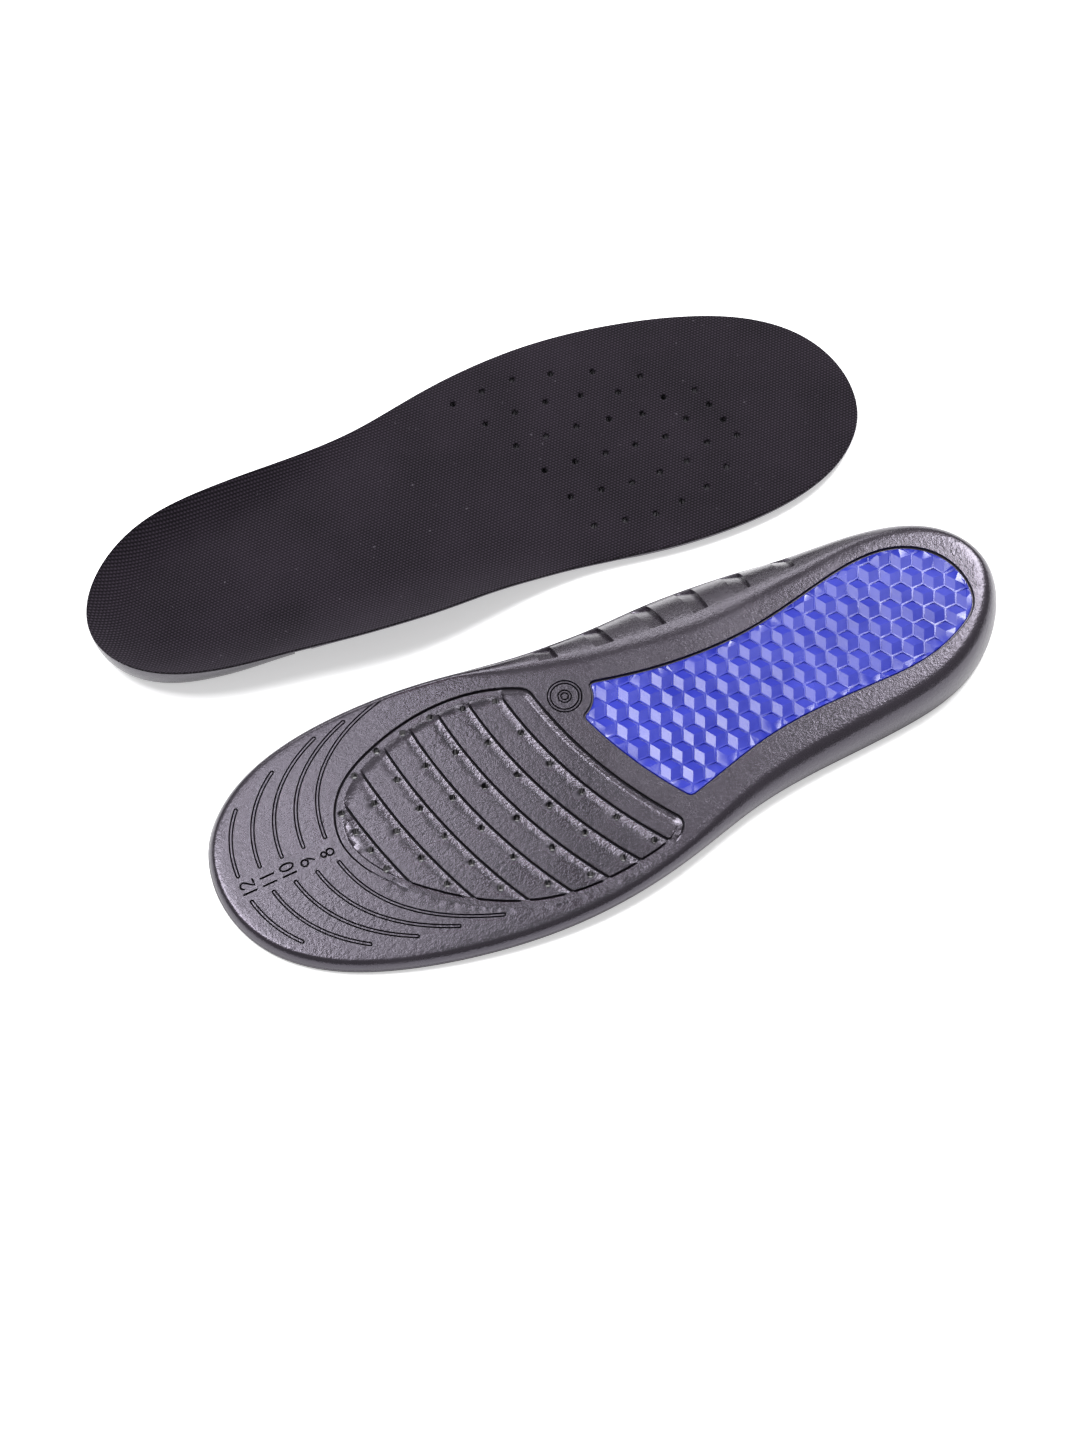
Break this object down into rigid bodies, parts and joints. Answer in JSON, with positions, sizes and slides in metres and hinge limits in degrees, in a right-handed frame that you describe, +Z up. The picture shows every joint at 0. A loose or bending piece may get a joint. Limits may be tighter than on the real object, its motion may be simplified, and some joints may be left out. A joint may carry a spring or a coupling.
{
  "type": "cushioned insole pair",
  "caption": "Pair of trim-to-fit shoe insoles: knit-covered black foam bases with blue gel heel and arch pads, one lying sole down and one sole up.",
  "frame": {"origin": "middle of the pair's box in plan, on the surface that both insoles lie on", "axes": "+X along the insoles, from the left insole's heel to its toe; +Y from the sole-up right insole towards the left insole; +Z up from the surface"},
  "size_m": [0.318, 0.237, 0.0219],
  "materials": {
    "knit_cover": "fine black polyester knit, matte",
    "moulded_foam": "satin black moulded foam skin with a fine grain",
    "blue_gel": "soft glossy royal blue gel"
  },
  "bodies": {
    "left_insole": {"left_cover": "knit_cover", "left_base": "moulded_foam", "left_gel_pad": "blue_gel"},
    "right_insole": {"right_cover": "knit_cover", "right_base": "moulded_foam", "right_gel_pad": "blue_gel"}
  },
  "joints": [
    {"name": "right_lift", "type": "slide", "parent": "left_insole", "child": "right_insole", "axis": [0, 0, 1], "range_m": [0, 0.12]}
  ]
}
